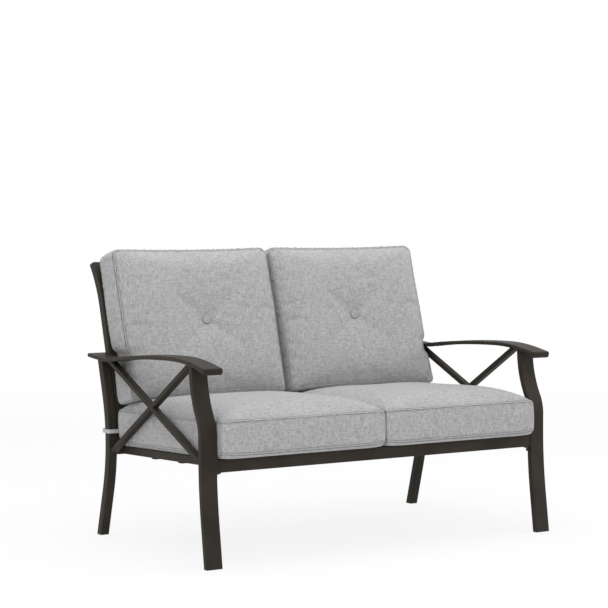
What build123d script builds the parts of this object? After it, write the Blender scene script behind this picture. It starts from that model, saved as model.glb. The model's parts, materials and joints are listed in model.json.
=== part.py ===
from build123d import *
from math import atan2, cos, degrees, hypot, pi, radians, sin
import os

os.makedirs("parts", exist_ok=True)

# Everything is in millimetres. +X is to the right as seen from the front, the seat faces -Y and +Z is up.
# While the pieces are made, y is measured from the front legs' feet back and z from the floor up.

# Side frames: front leg, rear leg, armrest and crossed braces
side_frame_spacing = 1270.0     # between the middle planes of the armrests and of the rear legs
front_leg_spacing = 1274.0
leg_width = 56.0
leg_depth = 20.0
leg_corner = 3.0
post_size = 30.0                # square tube of the rear legs and of the back's stiles
post_corner = 3.0
tube_wall = 1.5
overrun = 60.0                  # extra length that is trimmed off again

# Front leg, from the floor up: leans back, stands upright, then sweeps back under the arm
front_foot_y = 7.0
front_foot_lean = 8.0
front_foot_run = 135.0
front_lower_radius = 1600.0
front_upright_run = 40.0
front_knee_radius = 120.0
front_knee_angle = 30.0
front_neck_radius = 310.0
front_neck_angle = 27.0

# Rear leg and stile share one bent line: forward from the foot, back under the arm, then the curled top
rear_foot_y = 754.5
rear_foot_lean = 15.5
rear_foot_run = 160.0
post_bend_radius = 600.0
back_lean = 16.0
back_straight_run = 288.0
back_curl_radius = 440.0
back_curl_angle = 21.1
stile_top_tilt = 17.0           # how far the stile's end is cut back from square, towards level

# Armrest, from its rear end forward
arm_width = 70.0
arm_thickness = 13.0
arm_corner = 4.0
arm_rear_y = 789.0
arm_rear_z = 600.5
arm_tail_drop = 4.5
arm_tail_run = 87.0
arm_sag_radius = 370.0
arm_sag_angle = 12.0
arm_rise_radius = 3500.0
arm_rise_angle = 6.6
arm_crown_radius = 790.0
arm_crown_angle = 10.9
arm_front_run = 12.0
nose_length = 55.0
nose_height = 24.0
nose_wall = 3.0
nose_corner = 7.0
nose_edge = 6.0
notch_clearance = 1.0           # round the stile where it passes through the arm's inner edge

# Crossed braces: where the middle of each bar would end, inside the pieces that it is welded to
brace_spacing = 1263.0          # between the middles of the left and right braces
brace_width = 23.0
brace_size = 16.5
brace_corner = 2.5
brace_wall = 1.2
long_brace_front_y = 42.0
long_brace_front_z = 297.0
long_brace_rear_y = 715.0
long_brace_rear_z = 596.5
short_brace_front_y = 125.0
short_brace_front_z = 625.5
short_brace_rear_y = 700.0
short_brace_rear_z = 274.0

# Caps and plugs
cap_thickness = 4.0
spigot_length = 14.0
spigot_clearance = 0.2
cap_edge = 1.2

# Seat frame
seat_tilt = 2.2
front_rail_height = 40.0
front_rail_depth = 20.0
front_rail_y = 34.0
front_rail_top = 327.5
side_rail_width = 20.0
side_rail_height = 25.0
side_rail_outer_x = 607.0
rail_corner = 2.5
rear_rail_inset = 3.0           # behind the stiles' foremost line
slat_width = 32.0
slat_thickness = 4.0
slats_per_seat = 6
tie_width = 25.0
tie_thickness = 3.0
front_tie_y = 269.0
rear_tie_y = 446.0

# Back frame between the stiles
stile_gap = 2.0                 # between the rear leg and the stile beside it
stile_bottom_z = 276.0
back_rail_depth = 20.0
back_rail_height = 25.0
lower_back_rail_station = 438.0     # measured along the stile's middle from the floor
upper_back_rail_station = 890.0
back_slat_width = 25.0
back_slat_thickness = 4.0
back_slat_count = 10

# Brackets and fasteners
bracket_size = 16.0
bolt_edge_margin = 1.5          # between a bracket's bolt head and the bracket's free edge
bracket_thickness = 3.0
bracket_depth = 16.0
bolt_diameter = 6.0
bolt_hole_diameter = 6.4
bolt_head_diameter = 11.0
bolt_head_height = 3.3
nut_across_flats = 10.0
nut_height = 5.0
nut_gap = 0.1
bolt_tail = 2.0
spacer_diameter = 14.0
lower_bolt_station = 318.0
upper_bolt_station = 575.0

# Seat cushions
soft_clearance = 0.3
seat_front_y = 2.0
seat_outer_x = 606.0            # over the puffed sides
seat_half_gap = 0.8             # from the middle plane of the sofa
seat_boxing = 112.0
seat_crown = 58.0
seat_corner = 13.0
seat_bulge = 2.3
seat_pull_in = 5.0

# Back cushions
back_cushion_outer_x = 599.5
back_cushion_half_gap = 0.8
back_cushion_height = 517.0
back_cushion_thickness = 97.0
back_cushion_crown = 42.0
back_cushion_corner = 30.0
back_cushion_taper = 1.4        # degrees between its rear and front faces, thinner at the top
back_cushion_bulge = 2.0
back_cushion_pull_in = 5.0
back_cushion_rest_z = 434.0     # height of the lower rear edge

# Every cushion: the rounding of its lower edge, how high each level of the crown stands, and how
# quickly the dome narrows towards its top
cushion_edge_inset = 7.0
cushion_edge_height = 9.0
crown_level_shares = (0.3, 0.55, 0.78, 0.92, 0.985)
dome_roundness = 5.0

# Tufts and buttons
tuft_radius = 75.0
tuft_depth = 16.0
button_diameter = 30.0
button_rim = 4.0
button_dome = 4.0
button_sink = 3.0
button_clearance = 0.3
rear_button_diameter = 26.0

# Tie straps
strap_width = 14.0
strap_thickness = 2.0
strap_z = 352.0
strap_slack = 14.0              # how far the loop stands off behind the leg
strap_corner = 5.0
tab_length = 46.0
tab_root = 5.0                  # how deep a tab reaches towards the cushion that it is sewn to


def side_view(y, z):
    return Vector(0, y, z)


def bent_line(y, z, heading, steps, offset=0.0):
    """Joined straight runs (length,) and bends (radius, turn) in the side view.

    Heading and turns are in degrees, anticlockwise as seen from the right; offset shifts the line to its left.
    """
    angle = radians(heading)
    point = side_view(y - offset * sin(angle), z + offset * cos(angle))
    edges = []
    for step in steps:
        if len(step) == 1:
            end = point + side_view(cos(angle), sin(angle)) * step[0]
            edges.append(Edge.make_line(point, end))
        else:
            radius, turn = step
            side = 1 if turn > 0 else -1
            reach = side * (radius - side * offset)
            centre = point + side_view(-sin(angle), cos(angle)) * reach
            half = angle + radians(turn) / 2
            angle += radians(turn)
            middle = centre - side_view(-sin(half), cos(half)) * reach
            end = centre - side_view(-sin(angle), cos(angle)) * reach
            edges.append(Edge.make_three_point_arc(point, middle, end))
        point = end
    return Wire(edges)


def bent_bar(line, width, depth, corner):
    """Solid bar of rounded section along a line in the side view."""
    start = Plane(origin=line @ 0, x_dir=(1, 0, 0), z_dir=line % 0)
    return sweep(start * RectangleRounded(width, depth, corner), path=line)


def bent_tube(line, width, depth, corner, wall):
    bore = bent_bar(line, width - 2 * wall, depth - 2 * wall, corner - wall)
    return bent_bar(line, width, depth, corner) - bore


def beyond(line, far_y=None, far_z=None):
    """Everything past a line in the side view, out to a far depth or height."""
    first, last = line @ 0, line @ 1
    if far_y is None:
        corners = [side_view(last.Y, far_z), side_view(first.Y, far_z)]
    else:
        corners = [side_view(far_y, last.Z), side_view(far_y, first.Z)]
    closing = Wire.make_polygon([last, *corners, first], close=False)
    return extrude(Face(Wire(line.edges() + closing.edges())), leg_width, both=True)


def straight_tube(length, depth, height, corner=rail_corner, wall=tube_wall):
    """Rectangular tube along X, centred on the origin."""
    outer = Plane.YZ * RectangleRounded(depth, height, corner)
    bore = Plane.YZ * RectangleRounded(depth - 2 * wall, height - 2 * wall, corner - wall)
    return extrude(outer, length / 2, both=True) - extrude(bore, length / 2, both=True)


def past(seat, reach, inward=False):
    """Space on the outer side of a seat plane, or on its inner side."""
    side = Align.MAX if inward else Align.MIN
    return seat * Box(2 * overrun, 2 * overrun, reach, align=(Align.CENTER, Align.CENTER, side))


def cap_for(line, width, depth, corner, seat):
    """Plastic cap on a tube's end: a plate past the seat plane and a spigot inside the tube."""
    plate = bent_bar(line, width, depth, corner) & past(seat, cap_thickness)
    outer_face = plate.faces().sort_by(Axis(seat.origin, seat.z_dir))[-1]
    plate = fillet(outer_face.edges(), cap_edge)
    slim = 2 * (tube_wall + spigot_clearance)
    core = bent_bar(line, width - slim, depth - slim, corner - tube_wall)
    return plate + (core & past(seat, spigot_length, inward=True))


def bolt_along_x(length):
    """Button-head bolt: the underside of the head is at x = 0 and the shank runs to +X."""
    head = extrude(Plane.YZ * Circle(bolt_head_diameter / 2), -bolt_head_height)
    head = chamfer(head.edges().sort_by(Axis.X)[0], bolt_head_height / 3)
    return head + extrude(Plane.YZ * Circle(bolt_diameter / 2), length)


def nut_along_x():
    flats = RegularPolygon(nut_across_flats / 2, 6, major_radius=False)
    hole = Circle(bolt_hole_diameter / 2)
    return extrude(Plane.YZ * (flats - hole), nut_height)


def hole_along_x(start_x, length, centre):
    drill = Plane.YZ * Circle(bolt_hole_diameter / 2)
    return Pos(start_x, centre.Y, centre.Z) * extrude(drill, length)


# Bent lines of the side frame
front_leg_steps = (
    (front_foot_run + overrun,),
    (front_lower_radius, front_foot_lean),
    (front_upright_run,),
    (front_knee_radius, -front_knee_angle),
    (front_neck_radius, front_neck_angle),
    (overrun,),
)
front_leg_start = (
    front_foot_y - overrun * sin(radians(front_foot_lean)),
    -overrun * cos(radians(front_foot_lean)),
    90 - front_foot_lean,
)
front_leg_line = bent_line(*front_leg_start, front_leg_steps)
front_leg_rear_face = bent_line(*front_leg_start, front_leg_steps, -leg_depth / 2)

post_steps = (
    (rear_foot_run + overrun,),
    (post_bend_radius, -rear_foot_lean - back_lean),
    (back_straight_run,),
    (back_curl_radius, -back_curl_angle),
    (overrun,),
)
post_start = (
    rear_foot_y + overrun * sin(radians(rear_foot_lean)),
    -overrun * cos(radians(rear_foot_lean)),
    90 + rear_foot_lean,
)
post_line = bent_line(*post_start, post_steps)
rear_leg_line = bent_line(*post_start, post_steps[:-2])
post_front_face = bent_line(*post_start, post_steps, post_size / 2)

arm_steps = (
    (arm_tail_run + overrun,),
    (arm_sag_radius, -arm_sag_angle),
    (arm_rise_radius, arm_rise_angle),
    (arm_crown_radius, arm_crown_angle),
    (arm_front_run,),
)
arm_start = (
    arm_rear_y + overrun * cos(radians(arm_tail_drop)),
    arm_rear_z + overrun * sin(radians(arm_tail_drop)),
    180 + arm_tail_drop,
)
arm_line = bent_line(*arm_start, arm_steps)
arm_underside = bent_line(*arm_start, arm_steps, arm_thickness / 2)

above_arm = beyond(arm_underside, far_z=arm_rear_z + 3 * overrun)
before_front_leg = beyond(front_leg_rear_face, far_y=-overrun)
behind_post = beyond(post_front_face, far_y=arm_rear_y + 3 * overrun)

frame_x = side_frame_spacing / 2
front_leg_x = front_leg_spacing / 2
leg_inner_x = front_leg_x - leg_width / 2
post_inner_x = frame_x - post_size / 2
stile_outer_x = post_inner_x - stile_gap
stile_x = stile_outer_x - post_size / 2
stile_inner_x = stile_outer_x - post_size


def post_point(station):
    """Point on the post's middle line, by its distance along the line from the floor."""
    return post_line.position_at(station + overrun, position_mode=PositionMode.LENGTH)


def post_plane(station):
    """Plane square to the post at a station: local x is +X, local z runs up the post."""
    distance = station + overrun
    origin = post_line.position_at(distance, position_mode=PositionMode.LENGTH)
    tangent = post_line.tangent_at(distance, position_mode=PositionMode.LENGTH)
    return Plane(origin=origin, x_dir=(1, 0, 0), z_dir=tangent)


# The deck plane: its local y runs back down the slope and its local z is square to the seat
deck_origin_y = front_rail_y + front_rail_depth
deck = Plane(
    origin=(0, deck_origin_y, front_rail_top),
    x_dir=(1, 0, 0),
    z_dir=(0, sin(radians(seat_tilt)), cos(radians(seat_tilt))),
)


def along_deck(y):
    """Distance down the deck from its front edge to a depth y."""
    return (y - deck_origin_y) / cos(radians(seat_tilt))


# The stiles' foremost line, where the post turns from leaning forward to leaning back
post_bend_start_y = rear_foot_y - rear_foot_run * sin(radians(rear_foot_lean))
post_bend_centre_y = post_bend_start_y + post_bend_radius * cos(radians(rear_foot_lean))
post_foremost_y = post_bend_centre_y - post_bend_radius - post_size / 2

pieces = {}


def keep(name, shape):
    pieces[name] = shape


def group(shapes):
    return Compound([solid for shape in shapes for solid in shape.solids()])


def keep_pair(name, left):
    """A piece made for the left side, and its mirror image."""
    keep(name + "_left", left)
    mirrored = [mirror(solid, about=Plane.YZ) for solid in left.solids()]
    keep(name + "_right", mirrored[0] if len(mirrored) == 1 else group(mirrored))


def make_legs():
    legs = (
        ("front", front_leg_line, front_leg_x, leg_width, leg_depth, leg_corner, front_foot_y, ()),
        (
            "rear",
            rear_leg_line,
            frame_x,
            post_size,
            post_size,
            post_corner,
            rear_foot_y,
            (lower_bolt_station, upper_bolt_station),
        ),
    )
    for name, line, middle_x, width, depth, corner, foot_y, bolt_stations in legs:
        sole = Plane(origin=(0, foot_y, cap_thickness), x_dir=(1, 0, 0), z_dir=(0, 0, -1))
        leg = bent_tube(line, width, depth, corner, tube_wall) - past(sole, 2 * overrun) - above_arm
        leg = Pos(-middle_x, 0, 0) * leg
        for station in bolt_stations:
            leg -= hole_along_x(-middle_x, width, post_point(station))
        keep_pair(name + "_leg", leg)
        cap = cap_for(line, width, depth, corner, sole)
        keep_pair(name + "_foot_cap", Pos(-middle_x, 0, 0) * cap)


def make_arms():
    rear = Plane(
        origin=side_view(arm_rear_y, arm_rear_z), x_dir=(1, 0, 0), z_dir=-(arm_line % 0)
    )
    arm = bent_tube(arm_line, arm_width, arm_thickness, arm_corner, tube_wall)
    arm = Pos(-frame_x, 0, 0) * (arm - past(rear, 2 * overrun))
    passage = post_size + 2 * notch_clearance
    arm -= Pos(-stile_x, 0, 0) * bent_bar(post_line, passage, passage, post_corner)
    keep_pair("armrest", arm)

    front = Plane(origin=arm_line @ 1, x_dir=(1, 0, 0), z_dir=arm_line % 1)
    drop = nose_height - arm_thickness

    def nose_level(share, inset):
        """Section of the nose: the top runs straight on while the underside drops."""
        height = arm_thickness + drop * share ** 2
        centre = front * Pos(0, (arm_thickness - height) / 2, nose_length * share)
        corner = arm_corner + (nose_corner - arm_corner) * share
        return centre * RectangleRounded(
            arm_width - 2 * inset, height - 2 * inset, corner - inset
        )

    level_shares = (0, 0.5, 1)
    nose = loft([nose_level(share, 0) for share in level_shares])
    tip = nose.faces().sort_by(Axis(front.origin, front.z_dir))[-1]
    nose = fillet(tip.edges(), nose_edge)
    hollow_shares = (0, 0.5, 1 - nose_wall / nose_length)
    nose -= loft([nose_level(share, nose_wall) for share in hollow_shares])
    keep_pair("armrest_nose", Pos(-frame_x, 0, 0) * nose)

    plug = cap_for(arm_line, arm_width, arm_thickness, arm_corner, rear)
    keep_pair("armrest_plug", Pos(-frame_x, 0, 0) * plug)


def brace(front_y, front_z, rear_y, rear_z, solid=False):
    """Straight bar in the side view between two points."""
    run, rise = rear_y - front_y, rear_z - front_z
    length = hypot(run, rise)
    if solid:
        bar = Box(brace_width, length, brace_size)
    else:
        bar = Rot(0, 0, 90) * straight_tube(length, brace_width, brace_size, brace_corner, brace_wall)
    return Pos(0, (front_y + rear_y) / 2, (front_z + rear_z) / 2) * Rot(degrees(atan2(rise, run))) * bar


def make_braces():
    long_ends = (long_brace_front_y, long_brace_front_z, long_brace_rear_y, long_brace_rear_z)
    short_ends = (short_brace_front_y, short_brace_front_z, short_brace_rear_y, short_brace_rear_z)
    short_brace = brace(*short_ends) - brace(*long_ends, solid=True)
    for name, bar in (("long_brace", brace(*long_ends)), ("short_brace", short_brace)):
        bar = bar - above_arm - before_front_leg - behind_post
        keep_pair(name, Pos(-brace_spacing / 2, 0, 0) * bar)


def rail_bracket_bolt_spot():
    """Where the bolt through a front bracket stands, on the left side."""
    x = -leg_inner_x + bracket_size - bolt_head_diameter / 2 - bolt_edge_margin
    return x, front_rail_y + front_rail_depth / 2, front_rail_top - front_rail_height


def make_seat_frame():
    front_rail = Pos(
        0, front_rail_y + front_rail_depth / 2, front_rail_top - front_rail_height / 2
    ) * straight_tube(2 * leg_inner_x, front_rail_depth, front_rail_height)
    spot_x, spot_y, rail_bottom = rail_bracket_bolt_spot()
    for side in (-1, 1):
        drill = Cylinder(bolt_hole_diameter / 2, 4 * tube_wall)
        front_rail -= Pos(-side * spot_x, spot_y, rail_bottom) * drill
    keep("front_rail", front_rail)

    rear_y = post_foremost_y + rear_rail_inset
    rear_rail = deck * Pos(
        0, along_deck(rear_y) + front_rail_depth / 2, -side_rail_height / 2
    ) * straight_tube(2 * stile_inner_x, front_rail_depth, side_rail_height)
    keep("rear_rail", rear_rail)

    deck_length = along_deck(rear_y)
    front_block = Pos(0, deck_origin_y - overrun, front_rail_top) * Box(
        side_frame_spacing, 2 * overrun, 2 * overrun
    )
    rail_bar = Rot(0, 0, 90) * straight_tube(
        deck_length + 2 * overrun, side_rail_width, side_rail_height
    )
    side_rail = deck * Pos(
        -side_rail_outer_x + side_rail_width / 2, deck_length / 2, -side_rail_height / 2
    ) * rail_bar
    side_rail = side_rail - front_block - behind_stile_front()
    keep_pair("side_rail", side_rail)

    centre_rail = deck * Pos(0, deck_length / 2 - overrun / 2, -side_rail_height / 2) * (
        Rot(0, 0, 90) * straight_tube(deck_length + overrun, side_rail_width, side_rail_height)
    )
    keep("centre_rail", centre_rail - front_block)

    slat_length = side_rail_outer_x - 1.5 * side_rail_width
    pitch = deck_length / (slats_per_seat + 1)
    slat = Box(slat_length, slat_width, slat_thickness)
    middle_x = side_rail_width / 2 + slat_length / 2
    slats = [
        deck * Pos(-middle_x, pitch * (number + 1), -slat_thickness / 2) * slat
        for number in range(slats_per_seat)
    ]
    keep_pair("seat_slats", group(slats))

    tie = Box(2 * side_rail_outer_x, tie_width, tie_thickness)
    below = -side_rail_height - tie_thickness / 2
    keep("front_cross_tie", deck * Pos(0, along_deck(front_tie_y), below) * tie)
    keep("rear_cross_tie", deck * Pos(0, along_deck(rear_tie_y), below) * tie)


def behind_stile_front():
    """Everything behind the stiles' front face, wide enough for a side rail."""
    return Pos(-stile_x, 0, 0) * behind_post


def make_back_frame():
    curl_end = post_line.length - 2 * overrun
    top = Plane(post_plane(curl_end) * Rot(stile_top_tilt, 0, 0))
    stile = bent_tube(post_line, post_size, post_size, post_corner, tube_wall)
    stile = split(stile, bisect_by=Plane.XY.offset(stile_bottom_z), keep=Keep.TOP)
    stile = Pos(-stile_x, 0, 0) * (stile - past(top, 2 * overrun))
    for station in (lower_bolt_station, upper_bolt_station):
        stile -= hole_along_x(-stile_x - post_size, 2 * post_size, post_point(station))
    keep_pair("back_stile", stile)

    cap = cap_for(post_line, post_size, post_size, post_corner, top)
    keep_pair("stile_cap", Pos(-stile_x, 0, 0) * cap)

    for name, station in (
        ("lower_back_rail", lower_back_rail_station),
        ("upper_back_rail", upper_back_rail_station),
    ):
        inset = (post_size - back_rail_depth) / 2
        rail = straight_tube(2 * stile_inner_x, back_rail_depth, back_rail_height)
        keep(name, post_plane(station) * Pos(0, inset, 0) * rail)

    slat = bent_bar(post_line, back_slat_width, back_slat_thickness, back_slat_thickness / 4)
    lower_face = post_plane(lower_back_rail_station).offset(back_rail_height / 2)
    upper_face = post_plane(upper_back_rail_station).offset(-back_rail_height / 2)
    slat = split(slat, bisect_by=lower_face, keep=Keep.TOP)
    slat = split(slat, bisect_by=upper_face, keep=Keep.BOTTOM)
    pitch = (2 * stile_inner_x + back_slat_width) / (back_slat_count + 1)
    first_x = -stile_inner_x - back_slat_width / 2
    slats = [Pos(first_x + pitch * (number + 1), 0, 0) * slat for number in range(back_slat_count)]
    half = back_slat_count // 2
    keep("back_slats_left", group(slats[:half]))
    keep("back_slats_right", group(slats[half:]))


def make_fasteners():
    spacers, bolts, nuts = [], [], []
    grip = post_size + stile_gap + tube_wall + nut_gap + nut_height + bolt_tail
    for station in (lower_bolt_station, upper_bolt_station):
        centre = post_point(station)
        ring = Plane.YZ * (Circle(spacer_diameter / 2) - Circle(bolt_hole_diameter / 2))
        spacer = Pos(stile_outer_x, centre.Y, centre.Z) * extrude(ring, stile_gap)
        bolt = Pos(stile_inner_x, centre.Y, centre.Z) * bolt_along_x(grip)
        nut_x = post_inner_x + tube_wall + nut_gap
        nut = Pos(nut_x, centre.Y, centre.Z) * nut_along_x()
        for batch, piece in ((spacers, spacer), (bolts, bolt), (nuts, nut)):
            batch.extend([mirror(piece, about=Plane.YZ), piece])
    keep("stile_spacers", group(spacers))
    keep("stile_bolts", group(bolts))
    keep("stile_nuts", group(nuts))

    spot_x, spot_y, rail_bottom = rail_bracket_bolt_spot()
    flange = Pos(
        -leg_inner_x + bracket_size / 2, spot_y, rail_bottom - bracket_thickness / 2
    ) * Box(bracket_size, bracket_depth, bracket_thickness)
    upright_height = bracket_size - bracket_thickness
    upright = Pos(
        -leg_inner_x + bracket_thickness / 2,
        spot_y,
        rail_bottom - bracket_thickness - upright_height / 2,
    ) * Box(bracket_thickness, bracket_depth, upright_height)
    drill = Pos(spot_x, spot_y, rail_bottom) * Cylinder(bolt_hole_diameter / 2, 4 * bracket_thickness)
    keep_pair("rail_bracket", flange + upright - drill)

    grip = bracket_thickness + tube_wall + nut_gap + nut_height + bolt_tail
    bolt = Pos(spot_x, spot_y, rail_bottom - bracket_thickness) * Rot(0, -90, 0) * bolt_along_x(grip)
    nut = Pos(spot_x, spot_y, rail_bottom + tube_wall + nut_gap) * Rot(0, -90, 0) * nut_along_x()
    keep("bracket_bolts", group([bolt, mirror(bolt, about=Plane.YZ)]))
    keep("bracket_nuts", group([nut, mirror(nut, about=Plane.YZ)]))


def pillow_outline(width, depth, corner, pull_in):
    """Rounded rectangle whose sides are drawn in between the corners."""
    half_w, half_d = width / 2, depth / 2
    cut = corner * (1 - cos(pi / 4))
    edges = []
    spans = (
        ((half_w, half_d - corner), (half_w - cut, half_d - cut), (half_w - corner, half_d)),
        ((half_w - corner, half_d), (0, half_d - pull_in), (corner - half_w, half_d)),
        ((corner - half_w, half_d), (cut - half_w, half_d - cut), (-half_w, half_d - corner)),
        ((-half_w, half_d - corner), (pull_in - half_w, 0), (-half_w, corner - half_d)),
        ((-half_w, corner - half_d), (cut - half_w, cut - half_d), (corner - half_w, -half_d)),
        ((corner - half_w, -half_d), (0, pull_in - half_d), (half_w - corner, -half_d)),
        ((half_w - corner, -half_d), (half_w - cut, cut - half_d), (half_w, corner - half_d)),
        ((half_w, corner - half_d), (half_w - pull_in, 0), (half_w, half_d - corner)),
    )
    for start, middle, end in spans:
        edges.append(Edge.make_three_point_arc(start, middle, end))
    return Wire(edges)


def cushion(width, depth, boxing, crown, corner, bulge, pull_in, taper=0.0):
    """Boxed cushion standing on z = 0: puffed sides, then a crown that closes over the top.

    Width and depth are over the puffed sides.
    """

    def level(height, inset, narrow=1.0):
        lean = -taper * min(height / boxing, 1)
        outline = pillow_outline(
            (width - 2 * inset) * narrow,
            (depth - 2 * inset) * narrow,
            corner / narrow,
            pull_in * narrow,
        )
        return Pos(0, 0, height) * Rot(lean, 0, 0) * Face(outline)

    levels = [
        level(0, bulge + cushion_edge_inset),
        level(cushion_edge_height, bulge),
        level(boxing / 2, 0),
        level(boxing - cushion_edge_height / 2, bulge),
    ]
    for share in crown_level_shares:
        narrow = (1 - share ** 2) ** (1 / dome_roundness)
        levels.append(level(boxing + crown * share, bulge, narrow))
    return loft(levels, ruled=True)


# The back cushion's place: local y runs up the back's straight run and local z looks forward
rest_drop = radians(back_lean)
rear_plane_point = post_plane(rear_foot_run + radians(rear_foot_lean + back_lean) * post_bend_radius)
rear_face_y = rear_plane_point.origin.Y - (post_size / 2 + soft_clearance) / cos(rest_drop)
rear_face_z = rear_plane_point.origin.Z
back_rest_y = rear_face_y + (back_cushion_rest_z - rear_face_z) * sin(rest_drop) / cos(rest_drop)
back_face = Plane(
    origin=(0, back_rest_y, back_cushion_rest_z),
    x_dir=(1, 0, 0),
    z_dir=(0, -cos(rest_drop), sin(rest_drop)),
)


def make_seat_cushions():
    width = seat_outer_x - seat_half_gap
    rear_y = post_foremost_y - 2 * strap_thickness - 3 * soft_clearance
    depth = along_deck(rear_y) - along_deck(seat_front_y)
    body = cushion(
        width, depth, seat_boxing, seat_crown, seat_corner, seat_bulge, seat_pull_in
    )
    centre_x = (seat_outer_x + seat_half_gap) / 2
    middle = along_deck(seat_front_y) + depth / 2
    left = deck * Pos(-centre_x, middle, soft_clearance) * body - press_block()
    keep_pair("seat_cushion", left)

    tab = Box(
        tab_length,
        tab_root,
        strap_width,
        align=(Align.MIN, Align.MAX, Align.CENTER),
    )
    tab_rear_y = post_foremost_y - strap_thickness - 2 * soft_clearance
    tab = Pos(-stile_inner_x, tab_rear_y, strap_z) * tab - Pos(0, soft_clearance, 0) * left
    keep_pair("tie_tab", tab)


def press_block():
    """Space taken by the back cushion where it bears down on the seat cushion."""
    size = 4 * overrun
    return back_face * Pos(0, size / 2 - soft_clearance, size / 2) * Box(
        side_frame_spacing, size, 2 * size
    )


def button(diameter):
    """Covered button standing on z = 0."""
    rim = extrude(Circle(diameter / 2), button_rim)
    radius = (diameter ** 2 / 4 + button_dome ** 2) / (2 * button_dome)
    ball = Pos(0, 0, button_rim + button_dome - radius) * Sphere(radius)
    column = extrude(Circle(diameter / 2), button_rim + button_dome)
    return rim + (ball & column)


def make_back_cushions():
    width = back_cushion_outer_x - back_cushion_half_gap
    body = cushion(
        width,
        back_cushion_height,
        back_cushion_thickness,
        back_cushion_crown,
        back_cushion_corner,
        back_cushion_bulge,
        back_cushion_pull_in,
        back_cushion_taper,
    )
    crown_top = back_cushion_thickness + back_cushion_crown * crown_level_shares[-1]
    bowl = (tuft_radius ** 2 + tuft_depth ** 2) / (2 * tuft_depth)
    body -= Pos(0, 0, crown_top - tuft_depth + bowl) * Sphere(bowl)
    floor = crown_top - tuft_depth - button_sink
    pocket = Circle(button_diameter / 2 + button_clearance)
    body -= Pos(0, 0, floor) * extrude(pocket, 2 * tuft_depth)
    rear_pocket = Cylinder(rear_button_diameter / 2 + button_clearance, 2 * button_sink)
    body -= rear_pocket

    centre_x = (back_cushion_outer_x + back_cushion_half_gap) / 2
    place = back_face * Pos(-centre_x, back_cushion_height / 2, 0)
    keep_pair("back_cushion", place * body)
    keep_pair("front_button", place * Pos(0, 0, floor) * button(button_diameter))
    rear_button = Pos(0, 0, button_sink) * Rot(180, 0, 0) * button(rear_button_diameter)
    keep_pair("rear_button", place * rear_button)


def make_tie_loops():
    """Strap round the rear leg and the stile beside it, slack behind the leg."""
    inner_x, outer_x = stile_inner_x - soft_clearance, frame_x + post_size / 2 + soft_clearance
    front_y = post_foremost_y - soft_clearance
    rear_y = post_foremost_y + post_size + strap_slack
    centre = Pos(-(inner_x + outer_x) / 2, (front_y + rear_y) / 2, strap_z)
    inside = RectangleRounded(outer_x - inner_x, rear_y - front_y, strap_corner)
    outside = RectangleRounded(
        outer_x - inner_x + 2 * strap_thickness,
        rear_y - front_y + 2 * strap_thickness,
        strap_corner + strap_thickness,
    )
    keep_pair("tie_loop", centre * extrude(outside - inside, strap_width / 2, both=True))


make_legs()
make_arms()
make_braces()
make_seat_frame()
make_back_frame()
make_fasteners()
make_seat_cushions()
make_back_cushions()
make_tie_loops()

# The origin is the middle of the whole sofa's footprint, on the floor
footprint = group(pieces.values()).bounding_box()
centre_y = (footprint.min.Y + footprint.max.Y) / 2
for name, shape in pieces.items():
    export_step(Pos(0, -centre_y, 0) * shape, f"parts/{name}.step")
print("origin shift", round(centre_y, 2), "depth", round(footprint.size.Y, 2))
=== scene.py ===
import json
import math

import bpy
import numpy as np
from mathutils import Matrix, Vector, noise


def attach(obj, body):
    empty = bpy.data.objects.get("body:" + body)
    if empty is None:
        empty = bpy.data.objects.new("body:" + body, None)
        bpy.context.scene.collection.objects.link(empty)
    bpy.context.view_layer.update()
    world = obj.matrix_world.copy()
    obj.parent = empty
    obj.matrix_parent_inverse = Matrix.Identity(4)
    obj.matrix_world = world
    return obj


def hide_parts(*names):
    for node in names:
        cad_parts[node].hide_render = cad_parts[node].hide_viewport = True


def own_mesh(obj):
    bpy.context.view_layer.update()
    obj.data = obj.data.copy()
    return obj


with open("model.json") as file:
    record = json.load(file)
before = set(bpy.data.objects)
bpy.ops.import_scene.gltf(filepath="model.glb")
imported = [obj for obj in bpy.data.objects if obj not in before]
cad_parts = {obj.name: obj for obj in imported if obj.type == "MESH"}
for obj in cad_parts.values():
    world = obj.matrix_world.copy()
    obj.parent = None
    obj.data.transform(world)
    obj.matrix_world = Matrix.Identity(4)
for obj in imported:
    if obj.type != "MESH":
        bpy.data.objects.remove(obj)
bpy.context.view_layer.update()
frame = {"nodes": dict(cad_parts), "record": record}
print("frame loaded:", len(frame["nodes"]), "pieces")

mm = 0.001
sideNames = {"left": -1, "right": 1}

# the view of the photograph
camera = {
    "place": (-3.5039, -5.44808, 1.0930),
    "turn": 32.467,        # degrees from straight ahead towards the right
    "down": 2.870,
    "lens": 113.96, "film": 36, "farthest": 200,
}


def makeCamera():
    data = bpy.data.cameras.new("camera")
    data.lens = camera["lens"]
    data.sensor_width = camera["film"]
    data.clip_end = camera["farthest"]
    obj = bpy.data.objects.new("camera", data)
    obj.location = camera["place"]
    obj.rotation_euler = (math.radians(90 - camera["down"]), 0, -math.radians(camera["turn"]))
    bpy.context.scene.collection.objects.link(obj)
    bpy.context.scene.camera = obj


makeCamera()


def findSocket(sockets, key):
    if isinstance(key, int):
        return sockets[key]
    for socket in sockets:
        if socket.identifier == key:
            return socket
    return sockets[key]


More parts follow.
